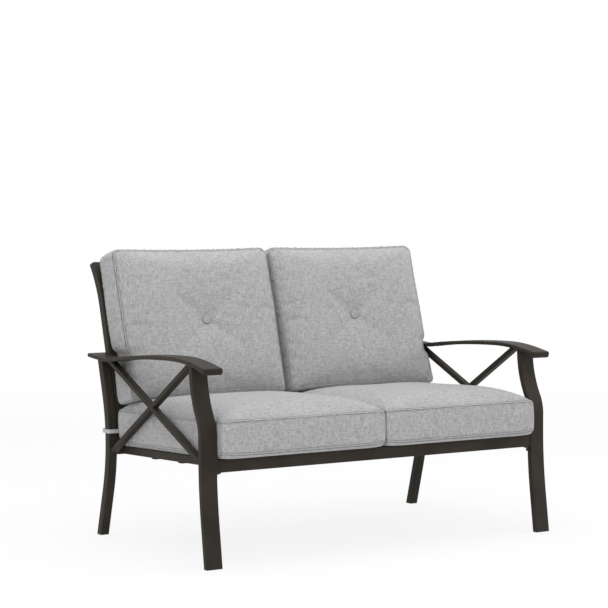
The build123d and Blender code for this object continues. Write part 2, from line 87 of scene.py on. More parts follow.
class Flow:
    # a node's output; sums on it add Math nodes
    def __init__(self, finish, socket):
        self.finish, self.socket = finish, socket

    def reckon(self, operation, *values):
        return self.finish.add("ShaderNodeMath", {"operation": operation}, dict(enumerate(values)))

    def __add__(self, other):
        return self.reckon("ADD", self, other)

    def __sub__(self, other):
        return self.reckon("SUBTRACT", self, other)

    def __rsub__(self, other):
        return self.reckon("SUBTRACT", other, self)

    def __mul__(self, other):
        return self.reckon("MULTIPLY", self, other)

    __radd__ = __add__
    __rmul__ = __mul__

    def sine(self):
        return self.reckon("SINE", self)

    def between(self, low, high, outLow=0.0, outHigh=1.0):
        return self.finish.add(
            "ShaderNodeMapRange", {"clamp": True},
            {"Value": self, "From Min": low, "From Max": high, "To Min": outLow, "To Max": outHigh})


class Finish:
    # the nodes of one material, or of the world
    def __init__(self, name, blocks=None):
        self.block = (bpy.data.materials if blocks is None else blocks).new(name)
        self.block.use_nodes = True
        self.tree = self.block.node_tree
        self.tree.nodes.clear()

    def add(self, kind, settings=None, sockets=None, out=0):
        node = self.tree.nodes.new(kind)
        for key, value in (settings or {}).items():
            setattr(node, key, value)
        for key, value in (sockets or {}).items():
            socket = findSocket(node.inputs, key)
            if isinstance(value, Flow):
                self.tree.links.new(value.socket, socket)
            else:
                socket.default_value = value
        return Flow(self, findSocket(node.outputs, out)) if len(node.outputs) else None

    def others(self, flow, *keys):
        # further outputs of the node that a flow comes from
        return [Flow(self, findSocket(flow.socket.node.outputs, key)) for key in keys]

    def blendColour(self, share, first, second):
        return self.add(
            "ShaderNodeMix", {"data_type": "RGBA"},
            {"Factor_Float": share, "A_Color": first, "B_Color": second}, "Result_Color")

    def scaled(self, vector, sizes):
        return self.add("ShaderNodeVectorMath", {"operation": "MULTIPLY"}, {0: vector, 1: sizes})

    def grain(self, vector, scale, detail=2.0, roughness=0.5):
        return self.add(
            "ShaderNodeTexNoise", {"noise_dimensions": "3D"},
            {"Vector": vector, "Scale": scale, "Detail": detail, "Roughness": roughness}, "Fac")

    def parts(self, vector):
        return self.others(self.add("ShaderNodeSeparateXYZ", None, {0: vector}), 0, 1, 2)

    def place(self):
        return self.add("ShaderNodeTexCoord", None, None, "Object")

    def facing(self):
        return self.add("ShaderNodeTexCoord", None, None, "Normal")

    def bump(self, height, look):
        return self.add(
            "ShaderNodeBump", None,
            {"Height": height, "Strength": look["relief"], "Distance": look["reliefDepth"]})

    def surface(self, **sockets):
        named = {key.replace("_", " "): value for key, value in sockets.items()}
        return self.close(self.add("ShaderNodeBsdfPrincipled", None, named))

    def close(self, shader, output="ShaderNodeOutputMaterial"):
        self.add(output, None, {"Surface": shader})
        return self.block

    def background(self):
        # 1 for rays from the camera, off metal and through glass, which see the pale background
        direct = self.add("ShaderNodeLightPath", None, None, "Is Camera Ray")
        glossy, through = self.others(direct, "Is Glossy Ray", "Is Transmission Ray")
        return direct + glossy + through


# powder coat of the frame; the scales are in cells per metre
paint = {
    "dark": (0.0260, 0.0214, 0.0170, 1.0),
    "light": (0.0372, 0.0311, 0.0250, 1.0),
    # paler colour for upward faces: part dust settled there, part painted top light for the lighter tops
    # that light from above gives
    "dustAndTopLight": (0.060, 0.053, 0.045, 1.0), "dustAndTopLightShare": 0.2,
    "roughness": 0.5, "uneven": 0.22, "dull": 0.3, "shine": 0.1,
    "cloudScale": 9.0, "powderScale": 1500.0, "peelScale": 420.0, "dustAndTopLightScale": 45.0,
    "relief": 0.22, "reliefDepth": 0.0006,
}


def makePaint():
    f = Finish("framePaint")
    here = f.place()
    cloud = f.grain(here, paint["cloudScale"], 3.0)
    powder = f.grain(here, paint["powderScale"], 1.0)
    peel = f.grain(here, paint["peelScale"], 2.0)
    # upward faces painted lighter in noisy patches: part settled dust, part painted top light; the same
    # mask dulls the roughness there
    up = f.parts(f.facing())[2].between(0.55, 1.0)
    dustAndTopLight = up * f.grain(here, paint["dustAndTopLightScale"], 4.0).between(0.42, 0.75) * paint["dustAndTopLightShare"]
    colour = f.blendColour(cloud.between(0.35, 0.65), paint["dark"], paint["light"])
    colour = f.blendColour(dustAndTopLight, colour, paint["dustAndTopLight"])
    rough = paint["roughness"] + (cloud - 0.5) * paint["uneven"] + dustAndTopLight * paint["dull"]
    return f.surface(
        Base_Color=colour, Roughness=rough, Specular_IOR_Level=paint["shine"],
        Normal=f.bump(peel * 0.7 + powder * 0.3, paint))


plastic = {
    "colour": (0.016, 0.0155, 0.015, 1.0), "worn": (0.035, 0.034, 0.033, 1.0),
    "scuffScale": 160.0, "grainScale": 900.0, "roughness": 0.5, "dull": 0.2, "shine": 0.4,
    "relief": 0.25, "reliefDepth": 0.0004,
}


def makePlastic():
    f = Finish("capPlastic")
    here = f.place()
    scuff = f.grain(here, plastic["scuffScale"], 4.0).between(0.55, 0.8)
    colour = f.blendColour(scuff, plastic["colour"], plastic["worn"])
    return f.surface(
        Base_Color=colour, Roughness=scuff * plastic["dull"] + plastic["roughness"],
        Specular_IOR_Level=plastic["shine"],
        Normal=f.bump(f.grain(here, plastic["grainScale"], 1.0), plastic))


zinc = {
    "bright": (0.42, 0.41, 0.39, 1.0), "dull": (0.24, 0.235, 0.22, 1.0),
    "scale": 260.0, "metal": 0.9, "roughness": (0.28, 0.5), "relief": 0.1, "reliefDepth": 0.0003,
}


def makeZinc():
    f = Finish("zincSteel")
    here = f.place()
    cloud = f.grain(here, zinc["scale"], 4.0)
    colour = f.blendColour(cloud.between(0.35, 0.7), zinc["bright"], zinc["dull"])
    return f.surface(
        Base_Color=colour, Metallic=zinc["metal"],
        Roughness=cloud.between(0.3, 0.8, *zinc["roughness"]), Normal=f.bump(cloud, zinc))


cloth = {
    "pale": (0.486, 0.486, 0.488),
    "dark": (0.305, 0.306, 0.311),
    "thread": 1.7 * mm,                          # from one thread to the next
    "fleckLong": 50.0, "fleckShort": 340.0,      # flecks per metre along and across a thread
    "swayScale": 90.0, "sway": 2.2, "speckScale": 800.0, "cloudScale": 12.0,
    "fleckTone": 0.8, "speckTone": 0.12, "cloudTone": 0.08, "plainTone": 0.4, "weaveTone": 0.02,
    "roughness": (0.95, 0.84), "shine": 0.22, "fuzz": 0.18, "relief": 0.6, "reliefDepth": 0.0008,
}


def makeCloth(name, lighten=1.0, thread=cloth["thread"], flecks=1.0):
    f = Finish(name)
    here = f.place()
    nx, ny, nz = [part * part for part in f.parts(f.facing())]
    x, y, z = f.parts(here)
    turn = 2 * math.pi / thread
    sway = (f.grain(here, cloth["swayScale"], 1.0) - 0.5) * cloth["sway"]
    waveX, waveY, waveZ = [(part * turn + sway).sine() for part in (x, y, z)]
    weave = nz * waveX * waveY + ny * waveX * waveZ + nx * waveY * waveZ
    long, short = cloth["fleckLong"], cloth["fleckShort"]
    slubs = []
    for sizes in ((long, short, short), (short, long, short), (short, short, long)):
        streak = f.grain(f.scaled(here, sizes), 1.0)
        slubs.append(streak.between(0.36, 0.64))
    slubX, slubY, slubZ = slubs
    heather = (slubX * (1 - nx) + slubY * (1 - ny) + slubZ * (1 - nz)) * 0.5
    speck = f.grain(here, cloth["speckScale"], 1.0).between(0.3, 0.7)
    cloud = f.grain(here, cloth["cloudScale"])
    tone = heather * cloth["fleckTone"] * flecks + speck * cloth["speckTone"]
    tone = tone + cloud * cloth["cloudTone"] + (1 - flecks) * cloth["plainTone"]
    share = (tone + weave * cloth["weaveTone"]).between(0.2, 0.8)
    dark, pale = [
        tuple(min(part * lighten, 1.0) for part in cloth[shade]) + (1.0,)
        for shade in ("dark", "pale")]
    height = weave * 0.5 + heather * 0.7
    return f.surface(
        Base_Color=f.blendColour(share, dark, pale),
        Roughness=share.between(0.0, 1.0, *cloth["roughness"]), Specular_IOR_Level=cloth["shine"],
        Sheen_Weight=cloth["fuzz"], Sheen_Roughness=0.5, Normal=f.bump(height, cloth))


# sewing thread, made darker than the cloth so that the stitch line also paints the shade of its groove
threadAndShadeFinish = {
    "pale": (0.27, 0.27, 0.28, 1.0), "dark": (0.16, 0.16, 0.17, 1.0), "twistScale": 1800.0,
    "roughness": 0.75, "fuzz": 0.2, "relief": 0.4, "reliefDepth": 0.0002,
}


def makeThread():
    f = Finish("sewingThread")
    here = f.place()
    twist = f.grain(here, threadAndShadeFinish["twistScale"], 1.0)
    colour = f.blendColour(twist.between(0.35, 0.65), threadAndShadeFinish["dark"], threadAndShadeFinish["pale"])
    return f.surface(
        Base_Color=colour, Roughness=threadAndShadeFinish["roughness"], Sheen_Weight=threadAndShadeFinish["fuzz"],
        Normal=f.bump(twist, threadAndShadeFinish))


finishes = {
    "frame_paint": makePaint(),
    "cap_plastic": makePlastic(),
    "hardware": makeZinc(),
    "cushion_fabric": makeCloth("cushionCloth"),
    "button_fabric": makeCloth("buttonCloth", 0.97, 1.4 * mm),
    "strap_fabric": makeCloth("strapCloth", 1.34, 1.2 * mm, 0.5),
}
thread = makeThread()
# a copy of the cloth painted darker as shade, for the seam grooves and under a button's edge
paintedShadeCloth = makeCloth("paintedShadeCloth", 0.72)      # the cloth down in a seam or under a button's edge
slotOf = {row["node"]: row["material_slot"] for row in frame["record"]["subparts"]}
for name, node in frame["nodes"].items():
    node.data.materials.clear()
    node.data.materials.append(finishes[slotOf[name]])
print("finishes ready:", len(finishes) + 2)


def keepPiece(name, points, faces, body, slotName, material=None, place=None):
    # a mesh that rides on a body and has its slot's finish, or one of its own
    mesh = bpy.data.meshes.new(name)
    mesh.from_pydata([tuple(point) for point in points], [], [tuple(face) for face in faces])
    mesh.validate()
    mesh.polygons.foreach_set("use_smooth", [True] * len(mesh.polygons))
    mesh.materials.append(material or finishes[slotName])
    mesh.update()
    obj = bpy.data.objects.new(name, mesh)
    bpy.context.scene.collection.objects.link(obj)
    if place is not None:
        obj.matrix_world = place
    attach(obj, body)
    return obj


def ringFaces(rings, count, loop=False):
    # the faces between rings of points; a loop joins the last ring to the first
    faces = []
    for ring in range(rings if loop else rings - 1):
        low, high = ring * count, (ring + 1) % rings * count
        for step in range(count):
            after = (step + 1) % count
            faces.append((low + step, low + after, high + after, high + step))
    return faces


def flipped(faces):
    return [tuple(reversed(face)) for face in faces]


# A cushion lies in its own frame: x across, y back along the seat or up the back, z out of the panel.
# corner: front or lower corners, then rear or upper ones. spread: places along the outer side, and how
# far it stands out there past its plain form, in mm. armSlope: how that table leans in y with z.
seat = {
    "width": 605.2 * mm, "depth": 668.5 * mm, "boxing": 112 * mm, "crown": 56 * mm,
    "hem": 10 * mm, "bulge": 2.3 * mm, "pullIn": 4 * mm, "corner": (9 * mm, 12 * mm),
    "cornerLift": 7 * mm, "roundness": 5.0, "lift": 0.3 * mm, "puff": 13 * mm, "sidePuff": 2.5 * mm,
    "middle": (303.4 * mm, 282.2 * mm), "tilt": 2.2, "outer": 304.9 * mm,
    "spread": ((-340, 0), (-250, 0), (-190, 8), (-140, 10.5), (255, 10.5), (300, 17), (340, 17)),
    "spreadShape": {-1: (0.5, 0.5, 0.2), 1: (0.5, 0.5, 0.2)}, "keep": 0.968, "tuftFloor": None,
    # how far the outer rear corner stands up, its seam's share, and where across and along that starts
    "rearLift": 8.5 * mm, "seamLift": 0.55, "liftStarts": (0.35, 0.45), "liftEnd": 0.95,
    "armSlope": 0.0, "seed": 1, "fill": 0.8,
}
back = {
    "width": 598.7 * mm, "depth": 517 * mm, "boxing": 97 * mm, "crown": 41 * mm,
    "hem": 9 * mm, "bulge": 2.0 * mm, "pullIn": 5 * mm, "corner": (14 * mm, 28 * mm),
    "cornerLift": 5 * mm, "roundness": 5.0, "puff": 10 * mm, "sidePuff": 2.5 * mm,
    "middle": (300.15 * mm, 258.5 * mm), "lean": 16.0, "taper": 1.4, "outer": 299.1 * mm,
    "spread": (
        (-262, 14), (-235, 18), (-128, 17), (-113, 0), (-77, 0), (-71, 8), (-63, 16), (-45, 18),
        (0, 20), (80, 20), (180, 17), (262, 16)),
    "spreadShape": {-1: (1.0, -0.38, 0.22), 1: (1.0, -0.25, 0.08)}, "keep": 0.964, "tuftFloor": 121 * mm,
    # places up the inner side, how far it stands back from its neighbour there, in mm, and the share of
    # that at its rear edge
    "drawInRear": 0.3,
    "drawIn": {
        -1: ((-262, 17), (-210, 14), (-150, 10), (-80, 7), (-20, 4), (60, 2), (160, 4), (262, 7)),
        1: ((-262, 4), (-100, 3), (60, 0), (160, -2), (262, -5))},
    "foot": (245.0 * mm, 434 * mm), "tuftReach": 44 * mm, "tuftFlat": 13 * mm, "tuftHeld": 16 * mm,
    "tuftFade": 32 * mm, "tuftPower": 1.3, "armSlope": 0.26, "seed": 6, "fill": 0.75,
}
deckStart = (0, -385.08 * mm, 327.5 * mm)
cells = {
    "half": 34,            # from the middle of a panel to its edge
    "side": 16,            # up the side
    "edgePack": 1.25,      # how strongly they crowd towards the seams
    "rowPack": 0.12,
}


def gridShares(half):
    even = np.linspace(-1, 1, 2 * half + 1)
    return np.sign(even) * (1 - (1 - abs(even)) ** cells["edgePack"])


def eased(values, low, high):
    share = np.clip((values - low) / (high - low), 0, 1)
    return share * share * (3 - 2 * share)


def roundedSquare(s, t, halfWidth, halfDepth, corner, pullIn):
    # each ring of the square grid becomes a rounded rectangle whose sides are drawn in
    ring = np.maximum(np.maximum(abs(s), abs(t)), 1e-9)
    sideways = abs(s) >= abs(t)
    along = np.where(sideways, t, s) / ring
    sideHalf = np.where(sideways, halfDepth, halfWidth) * ring
    endHalf = np.where(sideways, halfWidth, halfDepth) * ring
    radius = corner * ring
    straight = sideHalf - radius
    run = abs(along) * (straight + radius * math.pi / 4)
    bend = np.clip((run - straight) / radius, 0, None)
    far = np.sign(along) * np.where(run < straight, run, straight + radius * np.sin(bend))
    out = endHalf - radius * (1 - np.cos(bend)) - pullIn * ring ** 3 * (1 - along ** 2)
    x = np.where(sideways, out * np.sign(s), far)
    y = np.where(sideways, far, out * np.sign(t))
    return x, y


def rimOrder(count):
    # the places of a panel's outermost points, in order round it
    last = count - 1
    order = [(i, 0) for i in range(last)] + [(last, j) for j in range(last)]
    order += [(last - i, last) for i in range(last)] + [(0, last - j) for j in range(last)]
    return order


def alongRim(grid):
    rows, columns = zip(*rimOrder(grid.shape[0]))
    return grid[list(rows), list(columns)]


def cushionPanels(shape, crownShare):
    shares = gridShares(cells["half"])
    s, t = np.meshgrid(shares, shares, indexing="ij")
    halfWidth, halfDepth = shape["width"] / 2 - shape["bulge"], shape["depth"] / 2 - shape["bulge"]
    power = shape["roundness"]
    dome = np.sqrt(np.clip((1 - abs(s) ** power) * (1 - abs(t) ** power), 0, 1))
    corner = np.where(t > 0, shape["corner"][1], shape["corner"][0])
    x, y = roundedSquare(s, t, halfWidth, halfDepth, corner, shape["pullIn"])
    top = np.stack([x, y, shape["boxing"] + shape["crown"] * crownShare * dome], -1)
    inward = (1 - np.maximum(abs(s), abs(t))) * min(halfWidth, halfDepth)
    rounding = np.sqrt(np.clip(1 - (1 - np.clip(inward / shape["hem"], 0, 1)) ** 2, 0, 1))
    low = shape["hem"] * (1 - rounding) + shape["cornerLift"] * abs(s) ** 14 * abs(t) ** 14
    bottom = np.stack([x, y, low], -1)
    rimTop, rimBottom = alongRim(top), alongRim(bottom)
    outward = np.stack(
        [rimTop[:, 0] / halfWidth, rimTop[:, 1] / halfDepth, np.zeros(len(rimTop))], -1)
    outward = np.sign(outward) * abs(outward) ** 8
    outward /= np.linalg.norm(outward, axis=1, keepdims=True)
    rows = []
    for row in range(cells["side"] + 1):
        even = row / cells["side"]
        share = even - cells["rowPack"] * math.sin(2 * math.pi * even)
        grow = shape["bulge"] * math.sin(math.pi * share)
        rows.append(rimBottom * (1 - share) + rimTop * share + outward * grow)
    return {"top": top, "side": np.array(rows), "bottom": bottom, "s": s, "t": t}


def panelMesh(panels):
    # points and faces of a closed cushion from its three panels
    top, side, bottom = panels["top"], panels["side"], panels["bottom"]
    count = top.shape[0]
    rim = rimOrder(count)
    topIndex = np.arange(count * count).reshape(count, count)
    bottomIndex = topIndex + count * count
    points = [top.reshape(-1, 3), bottom.reshape(-1, 3)]
    total = 2 * count * count
    loops = [[bottomIndex[i, j] for i, j in rim]]
    for row in side[1:-1]:
        loops.append(list(range(total, total + len(rim))))
        points.append(row)
        total += len(rim)
    loops.append([topIndex[i, j] for i, j in rim])
    faces = []
    for i in range(count - 1):
        for j in range(count - 1):
            corners = ((i, j), (i + 1, j), (i + 1, j + 1), (i, j + 1))
            faces.append(tuple(topIndex[corner] for corner in corners))
            faces.append(tuple(bottomIndex[corner] for corner in corners[:1] + corners[:0:-1]))
    for lower, upper in zip(loops, loops[1:]):
        for step in range(len(rim)):
            after = (step + 1) % len(rim)
            faces.append((lower[step], lower[after], upper[after], upper[step]))
    return np.concatenate(points), faces


def panelsFrom(points, panels):
    # the three panels again from the points of their mesh
    count = panels["top"].shape[0]
    rimCount = len(rimOrder(count))
    area = count * count
    top = points[:area].reshape(count, count, 3)
    bottom = points[area:2 * area].reshape(count, count, 3)
    middle = points[2 * area:].reshape(-1, rimCount, 3)
    side = np.concatenate([alongRim(bottom)[None], middle, alongRim(top)[None]])
    return {**panels, "top": top, "bottom": bottom, "side": side}


press = {
    "startCrown": 0.84,      # the crown's share before the cover is blown up
    "frames": 20,
    "cloth": {
        "quality": 5, "mass": 0.3, "tension_stiffness": 18.0, "compression_stiffness": 18.0,
        "shear_stiffness": 9.0, "bending_stiffness": 3.0, "use_pressure": True,
        "uniform_pressure_force": 4.0, "shrink_min": -0.012, "vertex_group_mass": "held"},
}


def inflate(panels, shape):
    # the cover is blown up like a cloth bag that is held along its seams and underneath
    points, faces = panelMesh(panels)
    mesh = bpy.data.meshes.new("cover")
    mesh.from_pydata([tuple(point) for point in points], [], faces)
    obj = bpy.data.objects.new("cover", mesh)
    bpy.context.scene.collection.objects.link(obj)
    count = panels["top"].shape[0]
    area = count * count
    held = set(range(area, 2 * area))
    held.update(i * count + j for i, j in rimOrder(count))
    if shape["tuftFloor"]:
        near = np.hypot(panels["top"][..., 0], panels["top"][..., 1]).reshape(-1)
        held.update(int(index) for index in np.nonzero(near < shape["tuftHeld"])[0])
    group = obj.vertex_groups.new(name="held")
    group.add(sorted(held), 1.0, "REPLACE")
    modifier = obj.modifiers.new("press", "CLOTH")
    for key, value in press["cloth"].items():
        setattr(modifier.settings, key, value)
    modifier.settings.effector_weights.gravity = 0
    modifier.point_cache.frame_start = 1
    modifier.point_cache.frame_end = press["frames"]
    scene = bpy.context.scene
    for number in range(1, press["frames"] + 1):
        scene.frame_set(number)
    blown = obj.evaluated_get(bpy.context.evaluated_depsgraph_get()).data
    moved = np.empty(len(points) * 3)
    blown.vertices.foreach_get("co", moved)
    moved = moved.reshape(-1, 3)
    scene.frame_set(1)
    bpy.data.objects.remove(obj)
    bpy.data.meshes.remove(mesh)
    step = moved - points
    length = np.linalg.norm(step, axis=1, keepdims=True)
    cap = np.full((len(points), 1), shape["sidePuff"])
    cap[:area] = shape["puff"]
    if shape["tuftFloor"]:
        cap[:area, 0] *= 1.02 - np.exp(-(near / shape["tuftFade"]) ** 2)
    soft = cap * np.tanh(length / cap)
    print("  puffed by", round(length.max() / mm, 1), "mm, kept", round(soft.max() / mm, 1))
    return panelsFrom(points + step * soft / np.maximum(length, 1e-9), panels)


def levelCrown(panels, shape):
    # the puffed crown is brought to its own height, with the tuft left where it is
    top = panels["top"]
    rise = top[..., 2] - shape["boxing"]
    share = shape["crown"] / rise.max()
    if shape["tuftFloor"]:
        near = np.exp(-(np.hypot(top[..., 0], top[..., 1]) / (1.5 * shape["tuftReach"])) ** 2)
        share = share + (1 - share) * near
    top[..., 2] = shape["boxing"] + rise * share
    return panels


def finer(grid, axis, closed=False):
    # doubles the points along one axis with a smooth four-point rule
    grid = np.moveaxis(grid, axis, 0)
    before, after = np.roll(grid, 1, 0), np.roll(grid, -1, 0)
    beyond = np.roll(grid, -2, 0)
    middle = (9 * (grid + after) - before - beyond) / 16
    if not closed:
        middle = middle[:-1]
        middle[0] = (3 * grid[0] + 6 * grid[1] - grid[2]) / 8
        middle[-1] = (3 * grid[-1] + 6 * grid[-2] - grid[-3]) / 8
    count = len(grid) + len(middle)
    result = np.empty((count,) + grid.shape[1:])
    result[0::2], result[1::2] = grid, middle
    return np.moveaxis(result, 0, axis)


def refine(panels):
    # every panel with twice as many cells each way
    grids = {name: finer(finer(panels[name], 0), 1) for name in ("top", "bottom", "s", "t")}
    side = finer(finer(panels["side"], 1, True), 0)
    side[-1], side[0] = alongRim(grids["top"]), alongRim(grids["bottom"])
    return {**grids, "side": side}


def bumpsAt(points, scale, seed):
    # smooth noise between about -1 and 1
    shift = Vector([seed * part for part in folds["seedShift"]])
    return np.array([noise.noise(Vector(point) * scale + shift) for point in points])


def unit(vectors):
    return vectors / np.maximum(np.linalg.norm(vectors, axis=-1, keepdims=True), 1e-12)


def gridNormals(grid):
    return unit(np.cross(np.gradient(grid, axis=0), np.gradient(grid, axis=1)))


def sideNormals(side):
    return unit(np.cross(np.roll(side, -1, 1) - np.roll(side, 1, 1), np.gradient(side, axis=0)))


def seamGap(panels, shape):
    # distance of each point of a panel from its nearest seam
    return np.minimum(
        (1 - abs(panels["s"])) * shape["width"] / 2, (1 - abs(panels["t"])) * shape["depth"] / 2)


folds = {
    "seedShift": (3.7, 1.9, 5.3),
    "swell": 2.0 * mm, "swellScale": 7.0, "swellRise": 60 * mm,
    "puckerDepth": 0.5 * mm, "puckerScale": 75.0, "puckerRise": 4 * mm, "puckerReach": 22 * mm,
    "ray": 1.6 * mm, "rayRise": 14 * mm, "rayReach": 42 * mm,
    "rays": ((5, 1, 18, 1.0), (8, -2, 11, 0.7)),      # how many, turn with the seed, twist, size
    "waves": ((16.0, 9, 1.0 * mm), (60.0, 2, 0.35 * mm)),      # scale, seed and size on the side
}


def upSide(panels):
    # how high up the side each of its rows lies
    rows = len(panels["side"])
    return (np.arange(rows) / (rows - 1))[:, None]


def crumple(panels, shape, seed):
    # slack cloth: swells over the top, puckers at the seams, rays round the tuft, waves in the side
    top = panels["top"]
    flat = top.reshape(-1, 3)
    gap = seamGap(panels, shape).reshape(-1)
    normal = gridNormals(top).reshape(-1, 3)
    rise = bumpsAt(flat, folds["swellScale"], seed) * folds["swell"]
    rise *= np.tanh(gap / folds["swellRise"])
    pucker = bumpsAt(flat, folds["puckerScale"], seed + 4) * folds["puckerDepth"]
    rise += pucker * np.exp(-gap / folds["puckerReach"]) * np.tanh(gap / folds["puckerRise"])
    if shape["tuftFloor"]:
        reach = np.hypot(flat[:, 0], flat[:, 1])
        rise *= 1 - np.exp(-(reach / shape["tuftFade"]) ** 2)
        angle = np.arctan2(flat[:, 1], flat[:, 0])
        rays = sum(
            size * np.cos(angle * number + seed * turn + reach * twist)
            for number, turn, twist, size in folds["rays"])
        fade = np.exp(-reach / folds["rayReach"]) * np.tanh(reach / folds["rayRise"]) ** 2
        rise += rays * fade * folds["ray"]
    panels["top"] = (flat + normal * rise[:, None]).reshape(top.shape)
    side = panels["side"]
    share = np.sin(np.pi * upSide(panels))
    waves = np.zeros(side.shape[:2])
    for scale, more, size in folds["waves"]:
        waves += bumpsAt(side.reshape(-1, 3), scale, seed + more).reshape(waves.shape) * size
    panels["side"] = side + sideNormals(side) * (waves * share)[..., None]
    return panels


contact = {
    "limitGive": 1 * mm,                   # over what distance an outer side comes to its limit
    "beside": 0.5 * mm,                    # from a cushion to the middle plane
    "below": 0.6 * mm, "give": 4 * mm,     # under a back cushion, and over what height it rounds off
    "forward": 300 * mm,                   # how far a back cushion's underside is felt
    "step": 2.0, "blur": 3.0, "ends": 60,  # of the smoothed spread table, in mm, steps and mm
}


def spreadAt(shape, along):
    # the table of the outer side, smoothed
    places, values = zip(*shape["spread"])
    fine = np.arange(places[0] - contact["ends"], places[-1] + contact["ends"], contact["step"])
    reach = int(3 * contact["blur"])
    kernel = np.exp(-(np.arange(-reach, reach + 1) / contact["blur"]) ** 2)
    smooth = np.convolve(np.interp(fine, places, values), kernel / kernel.sum(), "same")
    return np.interp(along / mm, fine, smooth) * mm


def besideSide(panels, side):
    # each panel's points, how near the cushion's left or right side they are, and how high up it
    near = np.clip(panels["s"] * side, 0, 1)
    yield panels["bottom"], near ** 3, 0.0
    yield panels["top"], near ** 3, 1.0
    yield panels["side"], alongRim(near)[None] ** 6, upSide(panels)


def spreadSide(panels, shape, side):
    # the outer side swells between the things that hold it in, and is held to its limit beside them
    first, second, third = shape["spreadShape"][side]
    for grid, closeness, share in besideSide(panels, side):
        reach = spreadAt(shape, grid[..., 1] + shape["armSlope"] * grid[..., 2])
        profile = first + second * share + third * np.sin(np.pi * share)
        outer = grid[..., 0] * side + reach * profile * closeness
        limit, give = shape["outer"] + reach, contact["limitGive"]
        over = outer - limit + give
        held = limit - give + give * np.tanh(np.clip(over, 0, None) / give)
        grid[..., 0] = np.where(over > 0, held, outer) * side
    return panels


def drawIn(panels, shape, side):
    # the inner side of a back cushion stands back from its neighbour lower down
    places, values = zip(*shape["drawIn"][side])
    for grid, closeness, share in besideSide(panels, -side):
        draw = side * np.interp(grid[..., 1] / mm, places, values) * mm
        grid[..., 0] += draw * closeness * (shape["drawInRear"] + (1 - shape["drawInRear"]) * share)
    return panels


def liftCorner(panels, side):
    # the seat's outer rear corner, where nothing sits on it, stands up
    (across, along), end = seat["liftStarts"], seat["liftEnd"]
    near = eased(panels["s"] * side, across, end) * eased(panels["t"], along, end) * seat["rearLift"]
    near *= 1 - (1 - seat["seamLift"]) * np.maximum(abs(panels["s"]), abs(panels["t"])) ** 10
    panels["top"][..., 2] += near
    panels["side"][..., 2] += alongRim(near)[None] * upSide(panels) ** 2
    return panels


def seatPlace(side):
    deck = Matrix.Translation(deckStart) @ Matrix.Rotation(-math.radians(seat["tilt"]), 4, "X")
    return deck @ Matrix.Translation((side * seat["middle"][0], seat["middle"][1], seat["lift"]))


def backPlace(side):
    lean = math.radians(back["lean"])
    up, out = math.cos(lean), math.sin(lean)
    rise = Matrix(((1, 0, 0), (0, out, -up), (0, up, out)))
    foot = Matrix.Translation((0, back["foot"][0], back["foot"][1]))
    return foot @ rise.to_4x4() @ Matrix.Translation((side * back["middle"][0], back["middle"][1], 0))


def reshape(panels, change):
    for name in ("top", "side", "bottom"):
        grid = panels[name]
        panels[name] = change(grid.reshape(-1, 3)).reshape(grid.shape)
    return panels


def pressedBy(points, place):
    # the back cushion's underside is a flat that nothing of the seat passes
    inverse = np.array(backPlace(-1).inverted() @ place)
    local = points @ inverse[:3, :3].T + inverse[:3, 3]
    floor = -back["depth"] / 2 - contact["below"]
    over = local[:, 1] - floor
    give = contact["give"]
    soft = np.where(over > -give, -((over - give) ** 2) / (4 * give), over)
    soft = np.where(over > give, 0, soft)
    pressed = floor + np.minimum(over, soft)
    local[:, 1] = np.where(local[:, 2] < contact["forward"], pressed, local[:, 1])
    forward = np.linalg.inv(inverse)
    return local @ forward[:3, :3].T + forward[:3, 3]


def keepApart(points, side, middle):
    # cushions that touch in the middle flatten against each other
    gap = contact["beside"]
    x = points[:, 0] + side * middle
    points[:, 0] = np.where(side * x < gap, side * gap, x) - side * middle
    return points


def taperBack(points):
    # the back cushion is thinner towards its top
    share = np.clip(points[:, 2] / back["boxing"], 0, 1)
    points[:, 2] -= points[:, 1] * math.tan(math.radians(back["taper"])) * share
    return points


def makeCushion(shape, side, place, seed):
    crownShare = press["startCrown"]
    panels = cushionPanels(shape, crownShare)
    if shape["tuftFloor"]:
        top = panels["top"]
        reach = np.hypot(top[..., 0], top[..., 1])
        depth = shape["boxing"] + shape["crown"] * crownShare - shape["tuftFloor"]
        beyond = np.clip(reach - shape["tuftFlat"], 0, None)
        top[..., 2] -= depth * np.exp(-(beyond / shape["tuftReach"]) ** shape["tuftPower"])
    panels = levelCrown(inflate(panels, shape), shape)
    panels = crumple(refine(panels), shape, seed)
    panels = reshape(panels, lambda points: keepApart(points, side, shape["middle"][0]))
    if shape is seat:
        panels = spreadSide(liftCorner(panels, side), shape, side)
        return reshape(panels, lambda points: pressedBy(points, place))
    return reshape(drawIn(spreadSide(panels, shape, side), shape, side), taperBack)


